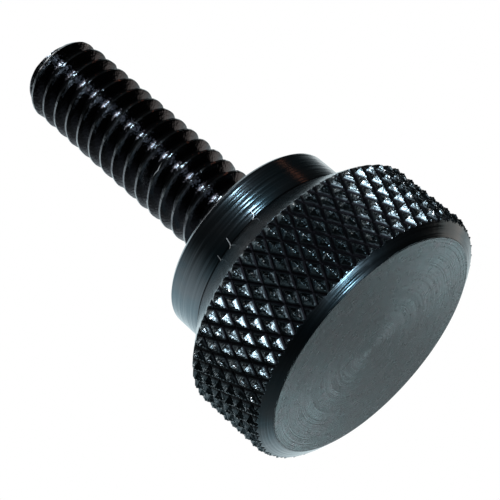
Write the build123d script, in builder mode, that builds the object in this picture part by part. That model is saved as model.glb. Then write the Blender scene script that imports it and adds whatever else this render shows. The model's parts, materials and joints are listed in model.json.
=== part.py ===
# A knurled thumb screw, turned in one piece from steel bar: a wide head for finger and thumb, a cone down to
# a plain collar, and a machine-screw thread. It stands on its head, with the head's face on the XY plane,
# the screw's axis on Z and the thread's tip uppermost. Sizes are in millimetres.
from build123d import *
import os

# Head
head_dia = 19.95  # over the crests of the knurl
head_height = 6.35  # from the face to the back edge of the knurled rim
face_chamfer_width = 1.34  # across the face's wide, shallow chamfer, measured on the face
face_chamfer_height = 0.78  # the same chamfer, measured down the rim

# Cone and collar
cone_height = 2.62  # from the back edge of the rim to the collar
collar_dia = 14.29
collar_height = 2.93  # the collar's plain wall, from the cone to its seat
collar_edge_break = 0.25  # small chamfer round the seat

# Thread
thread_dia = 6.35  # major diameter
thread_length = 20.64  # from the seat to the tip
tip_chamfer_width = 0.575  # the lead-in chamfer, measured on the flat end
tip_chamfer_height = 0.8  # the same chamfer, measured along the thread

# Heights above the face
rim_top = head_height
cone_top = rim_top + cone_height
seat_height = cone_top + collar_height
overall_length = seat_height + thread_length

with BuildPart() as thumb_screw:
    # Half of the section through the axis, with every edge still square
    with BuildSketch(Plane.XZ) as half_section:
        with BuildLine():
            Polyline(
                (0, 0),
                (head_dia / 2, 0),
                (head_dia / 2, rim_top),
                (collar_dia / 2, cone_top),
                (collar_dia / 2, seat_height),
                (thread_dia / 2, seat_height),
                (thread_dia / 2, overall_length),
                (0, overall_length),
                close=True,
            )
        make_face()
    revolve(axis=Axis.Z)

    # The face's chamfer, which cuts the ends of the knurl
    face = thumb_screw.faces().filter_by(Axis.Z).sort_by(Axis.Z)[0]
    chamfer(
        face.edges(),
        length=face_chamfer_width,
        length2=face_chamfer_height,
        reference=face,
    )

    # The collar's edge is only broken
    seat = thumb_screw.faces().filter_by(Axis.Z).sort_by(Axis.Z)[1]
    chamfer(seat.edges().sort_by(SortBy.RADIUS)[-1], length=collar_edge_break)

    # The lead-in that starts the thread in its hole
    tip = thumb_screw.faces().filter_by(Axis.Z).sort_by(Axis.Z)[-1]
    chamfer(
        tip.edges(),
        length=tip_chamfer_width,
        length2=tip_chamfer_height,
        reference=tip,
    )

thumb_screw.part.label = "thumb_screw"

os.makedirs("parts", exist_ok=True)
export_step(thumb_screw.part, "parts/thumb_screw.step")
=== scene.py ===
import json
import math

import bpy
from mathutils import Matrix, Vector


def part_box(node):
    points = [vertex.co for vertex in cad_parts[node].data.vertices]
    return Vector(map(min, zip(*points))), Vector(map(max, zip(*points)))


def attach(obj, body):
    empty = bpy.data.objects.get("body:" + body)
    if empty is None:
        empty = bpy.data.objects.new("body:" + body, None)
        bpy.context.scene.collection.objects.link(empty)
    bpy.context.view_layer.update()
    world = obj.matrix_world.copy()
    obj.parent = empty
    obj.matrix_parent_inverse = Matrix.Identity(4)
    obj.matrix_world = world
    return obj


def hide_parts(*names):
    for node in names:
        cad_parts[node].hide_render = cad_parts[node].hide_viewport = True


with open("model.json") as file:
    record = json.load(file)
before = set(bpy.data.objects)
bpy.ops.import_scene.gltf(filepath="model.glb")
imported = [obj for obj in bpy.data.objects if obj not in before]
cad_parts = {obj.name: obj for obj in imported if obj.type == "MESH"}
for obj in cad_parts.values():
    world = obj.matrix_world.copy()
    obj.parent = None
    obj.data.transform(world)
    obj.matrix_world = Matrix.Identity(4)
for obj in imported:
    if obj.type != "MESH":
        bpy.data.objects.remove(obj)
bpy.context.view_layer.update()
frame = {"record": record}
mm = 0.001

# ---------------------------------------------------------------------------------------------------------
# The screw. One piece of free-cutting steel, turned from bar on a lathe: the face and its chamfer, the rim,
# the cone and the collar are turned, the rim is rolled with a diamond knurl, the thread is cut up to the
# collar, and the whole screw is blackened in a hot oxide bath and oiled. It stands on its head.
# ---------------------------------------------------------------------------------------------------------
mounts = {m["name"]: m for m in frame["record"]["mounts"]}
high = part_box("thumb_screw")[1]

rim_radius = high[0]  # over the crests of the knurl
rim_top = 6.35 * mm
face_radius = rim_radius - 1.34 * mm
chamfer_height = 0.78 * mm
cone_top = rim_top + 2.62 * mm
collar_radius = 14.29 / 2 * mm
seat_height = mounts["seat"]["pos_m"][2]
edge_break = 0.25 * mm
thread_radius = mounts["thread"]["dims"]["r_mm"] * mm
tip_height = high[2]
tip_radius = thread_radius - 0.575 * mm
tip_chamfer_height = 0.8 * mm
crisp = 0.06 * mm  # rounding left on a turned edge
crease = math.radians(12)  # edges sharper than this aren't shaded smooth
relief = 0.25 * mm  # from the thread's crests out to where the seat starts

knurl_teeth = 54  # diamonds round the rim
tooth_length = 1.98 * mm  # of one diamond, along the screw
tooth_depth = 0.43 * mm
tooth_flat, groove_floor = 0.045, 0.94  # a diamond's flat top ends, and the grooves' round bottoms begin
ridge_rounding, floor_rounding = 0.06, 0.16  # as shares of a groove's depth
knurl_margin = 0.02 * mm  # between the grooves' run-out and the turned surfaces
tooth_steps = 10  # mesh steps along each side of a diamond
knurl_start_column, knurl_start_row = 8, 2  # where the rolls first bit, in mesh steps
pitch = 25.4 / 20 * mm
thread_depth = 0.76 * mm
crest_flat = 1 / 16  # half of a crest's flat, as a share of the pitch
crest_rounding, root_rounding = 0.05 * mm, 0.2 * mm
ragged_depth = 0.12 * mm  # how deep into the crests the raggedness reaches
turn_rows = 16  # mesh rows to one turn of the thread
crest_row = 2  # the thread starts this many mesh rows under the seat
wide_columns = knurl_teeth * tooth_steps  # mesh columns round everything but the thread
columns_apart = 5  # of them, between two mesh columns of the thread
turn_columns = wide_columns // columns_apart
torn_turn = math.radians(-138)  # where one crest of the thread is torn
torn_crest = (thread_radius * math.cos(torn_turn), thread_radius * math.sin(torn_turn), 19.2 * mm)
torn_reach, torn_depth = 0.55 * mm, 0.4 * mm


class Socket:
    """An output of a node. Arithmetic on it adds Math nodes to its tree."""

    def __init__(self, tree, output):
        self.tree = tree
        self.output = output

    def node(self, kind, inputs=None, out=0, **settings):
        """A new node of any kind: its settings are set first, then a value or a link for each input."""
        made = self.tree.nodes.new(kind)
        for name, setting in settings.items():
            setattr(made, name, setting)
        for name, value in (inputs or {}).items():
            if isinstance(value, Socket):
                self.tree.links.new(value.output, made.inputs[name])
            else:
                made.inputs[name].default_value = value
        return Socket(self.tree, made.outputs[out])

    def also(self, out):
        """Another output of the same node."""
        return Socket(self.tree, self.output.node.outputs[out])

    def math(self, operation, *values):
        return self.node("ShaderNodeMath", dict(enumerate((self, *values))), operation=operation)

    def __add__(self, other):
        return self.math("ADD", other)

    __radd__ = __add__

    def __sub__(self, other):
        return self.math("SUBTRACT", other)

    def __rsub__(self, other):
        return (self * -1.0) + other

    def __mul__(self, other):
        return self.math("MULTIPLY", other)

    __rmul__ = __mul__

    def __truediv__(self, other):
        return self.math("DIVIDE", other)

    def __lt__(self, other):
        return self.math("LESS_THAN", other)

    def __gt__(self, other):
        return self.math("GREATER_THAN", other)

    def least(self, other, rounding=0.0):
        return self.math("SMOOTH_MIN", other, rounding) if rounding else self.math("MINIMUM", other)

    def greatest(self, other, rounding=0.0):
        return self.math("SMOOTH_MAX", other, rounding) if rounding else self.math("MAXIMUM", other)

    def instead(self, other, where):
        """Itself, or the other where the mask is 1."""
        return self + (other - self) * where


def round_corners(corners, steps=3, support=0.04 * mm):
    """A section's points from its corners, (radius, height, rounding), with an arc at each rounded one."""
    points = [Vector(corners[0][:2])]
    for before, corner, after in zip(corners, corners[1:], corners[2:]):
        at = Vector(corner[:2])
        if not corner[2]:
            points.append(at)
            continue
        back, on = (Vector(before[:2]) - at).normalized(), (Vector(after[:2]) - at).normalized()
        half = back.angle(on) / 2
        reach = corner[2] / math.tan(half)
        centre = at + (back + on).normalized() * corner[2] / math.sin(half)
        start, end = at + back * reach, at + on * reach
        points.append(start + back * support)
        for step in range(steps + 1):
            spoke = (start - centre).lerp(end - centre, step / steps).normalized()
            points.append(centre + spoke * corner[2])
        points.append(end + on * support)
    return points + [Vector(corners[-1][:2])]


def grid(start, columns, rows):
    """A grid, with sockets for each point's column and row."""
    mesh = start.node(
        "GeometryNodeMeshGrid",
        {"Size X": 1.0, "Size Y": 1.0, "Vertices X": columns + 1, "Vertices Y": rows + 1},
    )
    place = start.node("GeometryNodeInputPosition")
    across = start.node("ShaderNodeSeparateXYZ", {"Vector": place})
    column = ((across + 0.5) * float(columns)).math("ROUND")
    row = ((across.also("Y") + 0.5) * float(rows)).math("ROUND")
    return mesh, column, row


def turned(mesh, angle, radius, height):
    """Moves a grid's points to their angle, radius and height about the screw's axis."""
    sides = {"X": radius * angle.math("COSINE"), "Y": radius * angle.math("SINE"), "Z": height}
    point = mesh.node("ShaderNodeCombineXYZ", sides)
    return mesh.node("GeometryNodeSetPosition", {"Geometry": mesh, "Position": point})


def plain_band(size, points):
    """The turned surfaces: the section, which is the base mesh, carried round the axis."""
    section = size["Geometry"]
    mesh, column, row = grid(section, wide_columns, points - 1)
    on_section = section.node(
        "GeometryNodeSampleIndex",
        {"Geometry": section, "Value": section.node("GeometryNodeInputPosition"), "Index": row},
        data_type="FLOAT_VECTOR",
    )
    place = section.node("ShaderNodeSeparateXYZ", {"Vector": on_section})
    # The last ring has as many points as the thread, which starts from it
    inner = (column / columns_apart).math("FLOOR") * columns_apart
    column = column.instead(inner, row > points - 1.5)
    solid = turned(mesh, column * (math.tau / wide_columns), place, place.also("Z"))
    # The section skips the knurl, so the one strip across it is taken away
    middle = section.node("ShaderNodeSeparateXYZ", {"Vector": section.node("GeometryNodeInputPosition")})
    across = (middle.also("Z") > size["Knurl Start"]) * (middle.also("Z") < size["Knurl End"])
    return section.node(
        "GeometryNodeDeleteGeometry", {"Geometry": solid, "Selection": across}, domain="FACE"
    )


def knurled_band(size, rows):
    """The rim: two crossed families of rolled V grooves, cut off by the chamfer and by the cone."""
    start = size["Geometry"]
    mesh, column, row = grid(start, wide_columns, rows)
    step = tooth_length / 2 / tooth_steps
    first, last = row < 0.5, row > rows - 0.5
    height = size["Knurl Start"] + (row - 0.5) * step
    height = height.instead(size["Knurl Start"], first).instead(size["Knurl End"], last)
    # Every row is half a column on from the last, so both families of grooves run along mesh edges
    turn = (column + row * 0.5) * (math.tau / wide_columns)
    left = (column + knurl_start_column) / tooth_steps
    right = (column + row + (knurl_start_column + knurl_start_row)) / tooth_steps

    def groove(along):
        """0 on the ridge between two grooves, 1 at the bottom of a groove."""
        return along.math("PINGPONG", 0.5) * -2.0 + 1.0

    tooth = groove(left).greatest(groove(right), ridge_rounding)
    tooth = (tooth - tooth_flat) / (groove_floor - tooth_flat)
    tooth = tooth.greatest(0.0).least(1.0, floor_rounding)
    radius = size["Rim Radius"] - size["Tooth Depth"] * tooth
    # The rolls don't bite evenly, so no two diamonds are quite alike
    spot = {"X": turn.math("COSINE") * rim_radius, "Y": turn.math("SINE") * rim_radius, "Z": height}
    spot = start.node("ShaderNodeCombineXYZ", spot)
    for scale, bite in ((600.0, 0.03 * mm), (2500.0, 0.045 * mm)):
        uneven = start.node("ShaderNodeTexNoise", {"Vector": spot, "Scale": scale, "Detail": 1.0})
        radius = radius - uneven * (bite * 2) + bite * 0.7
    radius = radius.least(size["Rim Radius"])
    chamfer_width = size["Rim Radius"] - size["Face Radius"]
    chamfer = size["Face Radius"] + height * chamfer_width / size["Chamfer Height"]
    fall = (size["Rim Radius"] - size["Collar Radius"]) / (size["Cone Top"] - size["Rim Top"])
    cone = size["Rim Radius"] - (height - size["Rim Top"]) * fall
    radius = radius.least(chamfer).least(cone)
    # The first and last rings lie on the turned surfaces, which they are welded to
    radius = radius.instead(chamfer, first).instead(cone, last)
    return turned(mesh, turn, radius, height)


def threaded_band(size, rows):
    """The thread: mesh rows that climb with it, cut off at the seat and the tip, and the flat end."""
    start = size["Geometry"]
    mesh, column, row = grid(start, turn_columns, rows)
    turn = column * (math.tau / turn_columns)
    climb = column / turn_columns * size["Pitch"]
    height = size["Seat Height"] - size["Pitch"] + (row - 1.0) / turn_rows * size["Pitch"] + climb
    height = height.greatest(size["Seat Height"]).least(size["Tip Height"])
    # 0 at a crest and 0.5 at a root, with flanks at 60 degrees to each other
    along = (height - climb - size["Seat Height"]) / size["Pitch"] + crest_row / turn_rows
    along = along.math("PINGPONG", 0.5)
    flank = size["Thread Radius"] - (along - crest_flat) * size["Pitch"] * math.sqrt(3)
    radius = flank.least(size["Thread Radius"], crest_rounding)
    radius = radius.greatest(size["Thread Radius"] - size["Thread Depth"], root_rounding)
    # The crests are a little ragged from the cut, and one is torn
    spot = {"X": turn.math("COSINE") * thread_radius, "Y": turn.math("SINE") * thread_radius, "Z": height}
    spot = start.node("ShaderNodeCombineXYZ", spot)
    ragged = start.node("ShaderNodeTexNoise", {"Vector": spot, "Scale": 1500.0, "Detail": 2.0})
    torn = spot.node("ShaderNodeVectorMath", {0: spot, 1: torn_crest}, out=1, operation="DISTANCE")
    torn = (1.0 - torn / torn_reach).greatest(0.0)
    crest = (radius - (size["Thread Radius"] - ragged_depth)).greatest(0.0) * 8.0
    radius = radius - crest * (ragged - 0.3).greatest(0.0) * 0.12 - torn * ragged * torn_depth
    lead_slope = (size["Thread Radius"] - size["Tip Radius"]) / size["Tip Chamfer"]
    lead = size["Tip Radius"] + (size["Tip Height"] - height) * lead_slope
    radius = radius.least(lead)
    # From the seat's inner edge to the first row, and over the flat end to its middle
    radius = radius.instead(size["Seat Inner Radius"], row < 0.5)
    radius = radius.instead(size["Tip Radius"] * 0.8, row > rows - 1.5)
    radius = radius.instead(0.0, row > rows - 0.5)
    return turned(mesh, turn, radius, height)


def turning(sizes, points, knurl_rows, thread_rows):
    """The node tree that turns the section, rolls the knurl, cuts the thread and welds the three."""
    tree = bpy.data.node_groups.new("turned_knurled_and_threaded", "GeometryNodeTree")
    tree.interface.new_socket("Geometry", in_out="INPUT", socket_type="NodeSocketGeometry")
    tree.interface.new_socket("Geometry", in_out="OUTPUT", socket_type="NodeSocketGeometry")
    for name in sizes:
        tree.interface.new_socket(name, in_out="INPUT", socket_type="NodeSocketFloat")
    tree.interface.new_socket("Finish", in_out="INPUT", socket_type="NodeSocketMaterial")
    given = tree.nodes.new("NodeGroupInput")
    size = {name: Socket(tree, given.outputs[name]) for name in ("Geometry", "Finish", *sizes)}
    start = size["Geometry"]
    bands = start.node("GeometryNodeJoinGeometry")
    for band in (
        plain_band(size, points),
        knurled_band(size, knurl_rows),
        threaded_band(size, thread_rows),
    ):
        tree.links.new(band.output, bands.output.node.inputs["Geometry"])
    solid = start.node("GeometryNodeMergeByDistance", {"Geometry": bands, "Distance": 0.0005 * mm})
    solid = start.node("GeometryNodeTriangulate", {"Mesh": solid}, quad_method="SHORTEST_DIAGONAL")
    angle = start.node("GeometryNodeInputMeshEdgeAngle")
    smooth = solid.node(
        "GeometryNodeSetShadeSmooth", {"Geometry": solid, "Shade Smooth": True}, domain="FACE"
    )
    smooth = smooth.node(
        "GeometryNodeSetShadeSmooth", {"Geometry": smooth, "Shade Smooth": angle < crease}, domain="EDGE"
    )
    real = start.node("GeometryNodeRealizeInstances", {"Geometry": smooth})
    finished = start.node("GeometryNodeSetMaterial", {"Geometry": real, "Material": size["Finish"]})
    result = tree.nodes.new("NodeGroupOutput")
    tree.links.new(finished.output, result.inputs["Geometry"])
    return tree


def shaped(name, section, tree, values):
    """A new object whose mesh is the tree's result, with the modifier gone."""
    mesh = bpy.data.meshes.new(name)
    mesh.from_pydata([(r, 0.0, z) for r, z in section], [(i, i + 1) for i in range(len(section) - 1)], [])
    piece = bpy.data.objects.new(name, mesh)
    bpy.context.scene.collection.objects.link(piece)
    modifier = piece.modifiers.new("turning", "NODES")
    modifier.node_group = tree
    for item in tree.interface.items_tree:
        if item.name in values:
            modifier[item.identifier] = values[item.name]
    piece.update_tag()
    evaluated = piece.evaluated_get(bpy.context.evaluated_depsgraph_get())
    result = bpy.data.meshes.new_from_object(evaluated)
    piece.modifiers.clear()
    piece.data = result
    result.name = name
    return piece


chamfer_slope = (rim_radius - face_radius) / chamfer_height
cone_slope = (rim_radius - collar_radius) / (cone_top - rim_top)
knurl_start = (rim_radius - tooth_depth - face_radius) / chamfer_slope - knurl_margin
knurl_end = rim_top + tooth_depth / cone_slope + knurl_margin
seat_inner_radius = thread_radius + relief
section = round_corners(
    [
        (0.0, 0.0, 0.0),
        (face_radius, 0.0, crisp),
        (face_radius + knurl_start * chamfer_slope, knurl_start, 0.0),
    ]
) + round_corners(
    [
        (rim_radius - (knurl_end - rim_top) * cone_slope, knurl_end, 0.0),
        (collar_radius, cone_top, 0.0),
        (collar_radius, seat_height - edge_break, crisp),
        (collar_radius - edge_break, seat_height, crisp),
        (seat_inner_radius, seat_height, 0.0),
    ]
)

# The finish: the oxide film's own colours, near-black dirt and painted shade, and the fine scratches, each
# (degrees round, height)
micron = 0.001 * mm
blue_film, grey_film = (0.075, 0.115, 0.135, 1), (0.12, 0.13, 0.14, 1)
knurl_film, thread_film = (0.044, 0.057, 0.063, 1), (0.075, 0.073, 0.08, 1)
face_film, face_pink, face_teal = (0.016, 0.028, 0.032, 1), (0.055, 0.028, 0.04, 1), (0.016, 0.046, 0.052, 1)
near_black_shade_and_dirt, black_pit, bare_steel = (0.004, 0.004, 0.005, 1), (0.0, 0.0, 0.0, 1), (0.5, 0.5, 0.5, 1)
long_scratch = ((-97.3, 9.5 * mm), (-98.2, 9.1 * mm), (-99.8, 8.75 * mm))
short_scratch = ((-107.2, 9.3 * mm), (-107.9, 8.9 * mm))
hooked_scratch = ((-78.5, 9.6 * mm), (-79.0, 9.2 * mm), (-81.5, 8.95 * mm))
hair = ((-86, 19.3 * mm), (-100, 19.0 * mm), (-117, 19.2 * mm), (-133, 19.0 * mm), (-149, 19.1 * mm))


def blackened_steel():
    """Hot black oxide over turned steel: tool marks round it, and steel rubbed bare on what stands proud."""
    finish = bpy.data.materials.new("black_oxide_steel")
    finish.use_nodes = True
    shader = finish.node_tree.nodes["Principled BSDF"]
    place = finish.node_tree.nodes.new("ShaderNodeTexCoord")
    place = Socket(finish.node_tree, place.outputs["Object"])
    x = place.node("ShaderNodeSeparateXYZ", {"Vector": place})
    y, height = x.also("Y"), x.also("Z")
    radius = (x * x + y * y).math("SQRT")
    turn = y.math("ARCTAN2", x)

    def noise(scale, detail=2.0, at=place, rough=0.5):
        inputs = {"Vector": at, "Scale": scale, "Detail": detail, "Roughness": rough}
        return place.node("ShaderNodeTexNoise", inputs)

    def between(value, low, high):
        """0 below low, 1 above high, and a straight slope between them."""
        inputs = {"Value": value, "From Min": low, "From Max": high}
        return place.node("ShaderNodeMapRange", inputs, clamp=True)

    def vector(operation, inputs, out=0):
        return place.node("ShaderNodeVectorMath", inputs, out=out, operation=operation)

    def scratch(path, width):
        """1 along a fine line through places on the surface."""
        line = 0.0
        # One degree round the collar is as far as this much height
        degree = collar_radius * math.radians(1)
        for start, end in zip(path, path[1:]):
            start, end = Vector((*start, 0)), Vector((*end, 0))
            run = end - start
            run.x *= degree
            here = turn * math.degrees(1)
            back = place.node("ShaderNodeCombineXYZ", {"X": here - start.x, "Y": height - start.y})
            back = vector("MULTIPLY", {0: back, 1: (degree, 1, 1)})
            along = vector("DOT_PRODUCT", {0: back, 1: run / run.length_squared}, out=1)
            foot = vector("SCALE", {0: run, "Scale": along.greatest(0.0).least(1.0)})
            away = vector("DISTANCE", {0: back, 1: foot}, out=1)
            line = between(away, width, width * 0.5).greatest(line)
        return line

    # Which part of the screw a point is on
    face = height < crisp / 2
    thread = height > seat_height + 0.01 * mm
    below_chamfer = radius < face_radius + height * chamfer_slope - knurl_margin
    below_cone = radius < rim_radius - (height - rim_top) * cone_slope - knurl_margin
    knurl = (height > knurl_start) * (height < knurl_end) * below_chamfer * below_cone
    cone = (height > rim_top) * (height < cone_top) * (1.0 - below_cone)
    tip = between(height, tip_height - 1.6 * mm, tip_height - 0.2 * mm)
    # A thin band along the inner corner where the cone meets the collar, darkened below with dirt and
    # painted shade
    corner = between((height - cone_top).math("ABSOLUTE"), 0.09 * mm, 0.03 * mm)
    corner = corner * (radius < collar_radius + 0.1 * mm)

    # Tool marks: rings on the turned surfaces, and on the thread they climb with it. The knurl has a grain
    climb = (height - turn * (pitch / math.tau)).math("WRAP", pitch, 0.0)
    ring_height = height.instead(climb, thread)
    rings = place.node("ShaderNodeCombineXYZ", {"X": radius, "Y": ring_height, "Z": x * 0.03})
    marks = noise(4800.0, 1.0, rings, 0.6)
    fine_marks = noise(14000.0, 1.0, rings)
    depth = (marks * (32 * micron) + fine_marks * (3 * micron)) * (1.0 - knurl)
    depth = depth * (1.0 - cone * 0.85)
    depth = depth.instead(marks * micron + fine_marks * (15 * micron), face)
    depth = depth * (1.0 - thread * 0.6)
    burred = between(radius, rim_radius - 0.2 * mm, rim_radius - 0.05 * mm)
    grain = noise(6500.0, 2.0) * (30 * micron + burred * (60 * micron))
    depth = depth + grain * knurl + noise(14000.0, 2.0) * face * (3 * micron)
    depth = depth + noise(5200.0, 2.0) * thread * (26 * micron)

    # Wear: crests rubbed grey, a speckled tip, bright spots on the diamonds, and scratches
    crest = thread * between(radius, thread_radius - 0.055 * mm, thread_radius - 0.025 * mm)
    patchy = noise(900.0, 3.0)
    rubbed = crest * between(patchy, 0.25, 0.65) * 0.42
    end_face = height > tip_height - crisp
    speckled = tip * between(noise(5200.0, 3.0), 0.52, 0.62) * (0.7 - end_face * 0.55)
    upper_flanks = between(radius, rim_radius - 0.32 * mm, rim_radius - 0.2 * mm)
    glinting = knurl * upper_flanks * between(noise(4600.0, 2.0), 0.61, 0.67)
    scratches = 0.0
    for path, width in (
        (long_scratch, 35 * micron),
        (short_scratch, 25 * micron),
        (hooked_scratch, 25 * micron),
        (hair, 55 * micron),
    ):
        scratches = scratch(path, width).greatest(scratches)
    bare = rubbed.greatest(speckled).greatest(glinting * 0.6).greatest(scratches * 0.9)

    def mix(below, above, mask):
        """One colour laid over another where the mask is 1."""
        inputs = {0: mask, 6: below, 7: above}
        return place.node("ShaderNodeMix", inputs, out=2, data_type="RGBA")

    film = mix(blue_film, grey_film, between(noise(350.0, 3.0), 0.35, 0.65))
    film = mix(film, knurl_film, knurl)
    # Dirt and painted shade: near-black at the bottoms of the knurl's grooves and along the inner corner
    # where the cone meets the collar
    groove_shade_and_dirt = between(radius, rim_radius - 0.3 * mm, rim_radius - 0.4 * mm) * knurl
    film = mix(film, near_black_shade_and_dirt, groove_shade_and_dirt.greatest(corner))
    film = mix(film, thread_film, thread)
    film = mix(film, face_film, face)
    film = mix(film, face_pink, face * between(noise(2600.0, 4.0), 0.42, 0.7) * 0.5)
    film = mix(film, face_teal, face * between(noise(420.0, 3.0), 0.4, 0.7) * 0.45)
    film = mix(film, black_pit, face * between(noise(5200.0, 2.0), 0.63, 0.72) * 0.7)
    colour = mix(film, bare_steel, bare)
    gloss = 0.14 + marks * 0.1
    gloss = gloss.instead(0.2 + noise(1800.0, 3.0) * 0.12, face)
    for roughness, where in ((0.2, knurl), (0.11, thread), (0.24, bare), (0.5, scratches), (0.6, groove_shade_and_dirt)):
        gloss = gloss.instead(roughness, where)
    bump = depth.node("ShaderNodeBump", {"Height": depth, "Strength": 1.0, "Distance": 1.0})
    shader.inputs["Metallic"].default_value = 1.0
    for name, value in (("Base Color", colour), ("Roughness", gloss), ("Normal", bump)):
        finish.node_tree.links.new(value.output, shader.inputs[name])
    return finish


sizes = {
    "Rim Radius": rim_radius,
    "Rim Top": rim_top,
    "Face Radius": face_radius,
    "Chamfer Height": chamfer_height,
    "Knurl Start": knurl_start,
    "Knurl End": knurl_end,
    "Tooth Depth": tooth_depth,
    "Collar Radius": collar_radius,
    "Cone Top": cone_top,
    "Seat Height": seat_height,
    "Seat Inner Radius": seat_inner_radius,
    "Thread Radius": thread_radius,
    "Thread Depth": thread_depth,
    "Pitch": pitch,
    "Tip Height": tip_height,
    "Tip Radius": tip_radius,
    "Tip Chamfer": tip_chamfer_height,
}
# An even number of rows, so that the last ring's points meet the turned surface's
knurl_rows = 2 * math.floor((knurl_end - knurl_start) / (tooth_length / tooth_steps) + 0.75)
thread_rows = math.ceil((tip_height - seat_height) / pitch * turn_rows) + turn_rows + 3
tree = turning(sizes, len(section), knurl_rows, thread_rows)
screw = shaped("knurled_thumb_screw", section, tree, {**sizes, "Finish": blackened_steel()})
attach(screw, "root")
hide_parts("thumb_screw")

# ---------------------------------------------------------------------------------------------------------
# The studio. A pale table top that shows only from above, soft lights, and a camera that looks up at the
# head's face from below the table top.
# ---------------------------------------------------------------------------------------------------------
camera = bpy.data.objects.new("camera", bpy.data.cameras.new("camera"))
bpy.context.scene.collection.objects.link(camera)
bpy.context.scene.camera = camera
camera.data.sensor_width = 36
camera.data.lens = 137.489
camera.data.clip_start = 0.01
heading, upward, roll = math.radians(0.263), math.radians(27.283), math.radians(48.892)
level = math.cos(upward)
look = Vector((-math.sin(heading) * level, math.cos(heading) * level, math.sin(upward)))
camera.rotation_mode = "QUATERNION"
camera.rotation_quaternion = Matrix.Rotation(roll, 3, look).to_quaternion() @ look.to_track_quat("-Z", "Y")
camera.location = (0, -113.953 * mm, -47.427 * mm)
bpy.context.scene.view_settings.view_transform = "Standard"

# A white sweep curves round behind the screw and up one side. The rest of the room is dark, and darkest
# straight below. The camera itself sees plain white behind everything.
sweep_middle = (-0.634, 0.716, 0.291)
window = (-0.656, -0.348, 0.67)
sweep_white, window_white, plain_white = (0.88, 1.0, 1.02, 1), (0.84, 1.0, 1.06, 1), (1, 1, 1, 1)
world = bpy.data.worlds.new("studio")
bpy.context.scene.world = world
world.use_nodes = True
around = world.node_tree.nodes.new("ShaderNodeTexCoord")
around = Socket(world.node_tree, around.outputs["Generated"])


def toward(direction):
    """How nearly the way from the screw is this direction: 1 straight along it, -1 straight away."""
    return around.node("ShaderNodeVectorMath", {0: around, 1: direction}, out=1, operation="DOT_PRODUCT")


lit = around.node(
    "ShaderNodeMapRange",
    {"Value": toward(sweep_middle), "From Min": -0.03, "From Max": 1.03, "To Min": 0.02, "To Max": 1.23},
    interpolation_type="SMOOTHSTEP",
)
lit = lit * around.node(
    "ShaderNodeMapRange",
    {"Value": toward((0, 0, 1)), "From Min": -0.62, "From Max": -0.2, "To Min": 0.2, "To Max": 1.0},
    interpolation_type="SMOOTHSTEP",
)
seen = around.node("ShaderNodeLightPath")  # 1 for the camera's own look at the backdrop
daylight = around.node("ShaderNodeMapRange", {"Value": toward(window), "From Min": -0.6, "From Max": 0.4})
tint = around.node("ShaderNodeMix", {0: daylight, 6: sweep_white, 7: window_white}, out=2, data_type="RGBA")
tint = around.node("ShaderNodeMix", {0: seen, 6: tint, 7: plain_white}, out=2, data_type="RGBA")
background = world.node_tree.nodes["Background"]
world.node_tree.links.new(lit.instead(1.0, seen).output, background.inputs["Strength"])
world.node_tree.links.new(tint.output, background.inputs["Color"])

centre = Vector((0, 0, tip_height / 2))
light_distance = 0.5


def softbox(name, direction, width, brightness, colour=(1.0, 1.0, 1.0)):
    """A round soft light that faces the screw from a direction."""
    lamp = bpy.data.objects.new(name, bpy.data.lights.new(name, "AREA"))
    bpy.context.scene.collection.objects.link(lamp)
    lamp.data.shape = "DISK"
    lamp.data.size = width
    lamp.data.energy = brightness * math.pi * math.pi * width * width / 4
    lamp.data.color = colour
    lamp.location = centre + direction * light_distance
    lamp.rotation_mode = "QUATERNION"
    lamp.rotation_quaternion = direction.to_track_quat("Z", "Y")
    lamp.visible_camera = False


def mirrored(turn, slope):
    """The way to a light that the camera sees mirrored where the surface faces this way, in degrees."""
    turn, slope = math.radians(turn), math.radians(slope)
    facing = Vector((math.cos(slope) * math.cos(turn), math.cos(slope) * math.sin(turn), math.sin(slope)))
    return (2 * facing.dot(-look) * facing + look).normalized()


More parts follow.
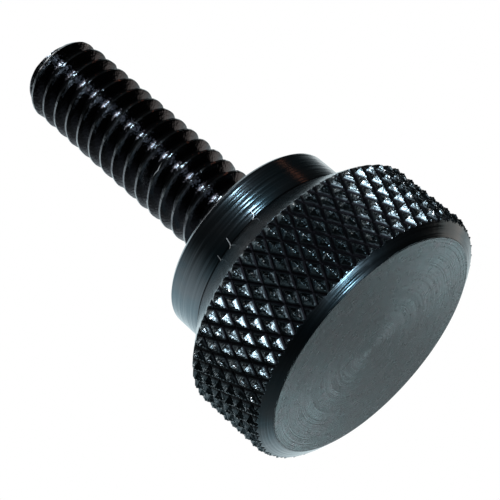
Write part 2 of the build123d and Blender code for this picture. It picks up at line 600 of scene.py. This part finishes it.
blue, white, cyan = (0.66, 0.87, 1.0), (0.88, 0.94, 1.0), (0.8, 0.97, 1.0)
reddish, warm = (1.0, 0.3, 0.16), (1.0, 0.88, 0.78)
# A bank of lights in an arc. Each shows where the surface faces so many degrees up, or down if negative
bank_turn = -76
bank = ((-6, 0.09, 42, blue), (-20, 0.12, 95, white), (-20, 0.34, 6.5, white), (-56, 0.05, 70, blue))
for number, (slope, width, brightness, colour) in enumerate(bank, 1):
    softbox(f"bank_light_{number}", mirrored(bank_turn, slope), width, brightness, colour)
softbox("face_light_1", mirrored(5, -79), 0.1, 4.2, cyan)
softbox("face_light_2", mirrored(185, -79), 0.1, 6.4, cyan)
softbox("small_lamp", mirrored(-43, 0), 0.04, 1.1, reddish)
softbox("edge_light", mirrored(-12, 0), 0.12, 0.5)
softbox("fill_light", mirrored(-8, -60), 0.2, 0.5, warm)
softbox("top_light", Vector((0, 0, 1)), 0.34, 3.0)

# The table top is clear from below, shows the screw's shadow, and is left out of its reflections
floor = bpy.data.objects.new("floor", bpy.data.meshes.new("floor"))
bpy.context.scene.collection.objects.link(floor)
floor_reach, floor_drop = 1.5, 0.05 * mm
floor.data.from_pydata(
    [(x * floor_reach, y * floor_reach, -floor_drop) for x, y in ((-1, -1), (1, -1), (1, 1), (-1, 1))],
    [],
    [(0, 1, 2, 3)],
)
paper = bpy.data.materials.new("pale_paper")
paper.use_nodes = True
paper_shader = paper.node_tree.nodes["Principled BSDF"]
paper_shader.inputs["Base Color"].default_value = (0.82, 0.82, 0.81, 1)
paper_shader.inputs["Roughness"].default_value = 0.9
underside = paper.node_tree.nodes.new("ShaderNodeNewGeometry")
underside = Socket(paper.node_tree, underside.outputs["Backfacing"])
opaque = Socket(paper.node_tree, paper_shader.outputs["BSDF"])
clear = underside.node("ShaderNodeBsdfTransparent")
top_only = underside.node("ShaderNodeMixShader", {0: underside, 1: opaque, 2: clear})
paper.node_tree.links.new(top_only.output, paper.node_tree.nodes["Material Output"].inputs["Surface"])
floor.data.materials.append(paper)
floor.visible_diffuse = False
floor.visible_glossy = False
floor.visible_transmission = False
floor.visible_shadow = False
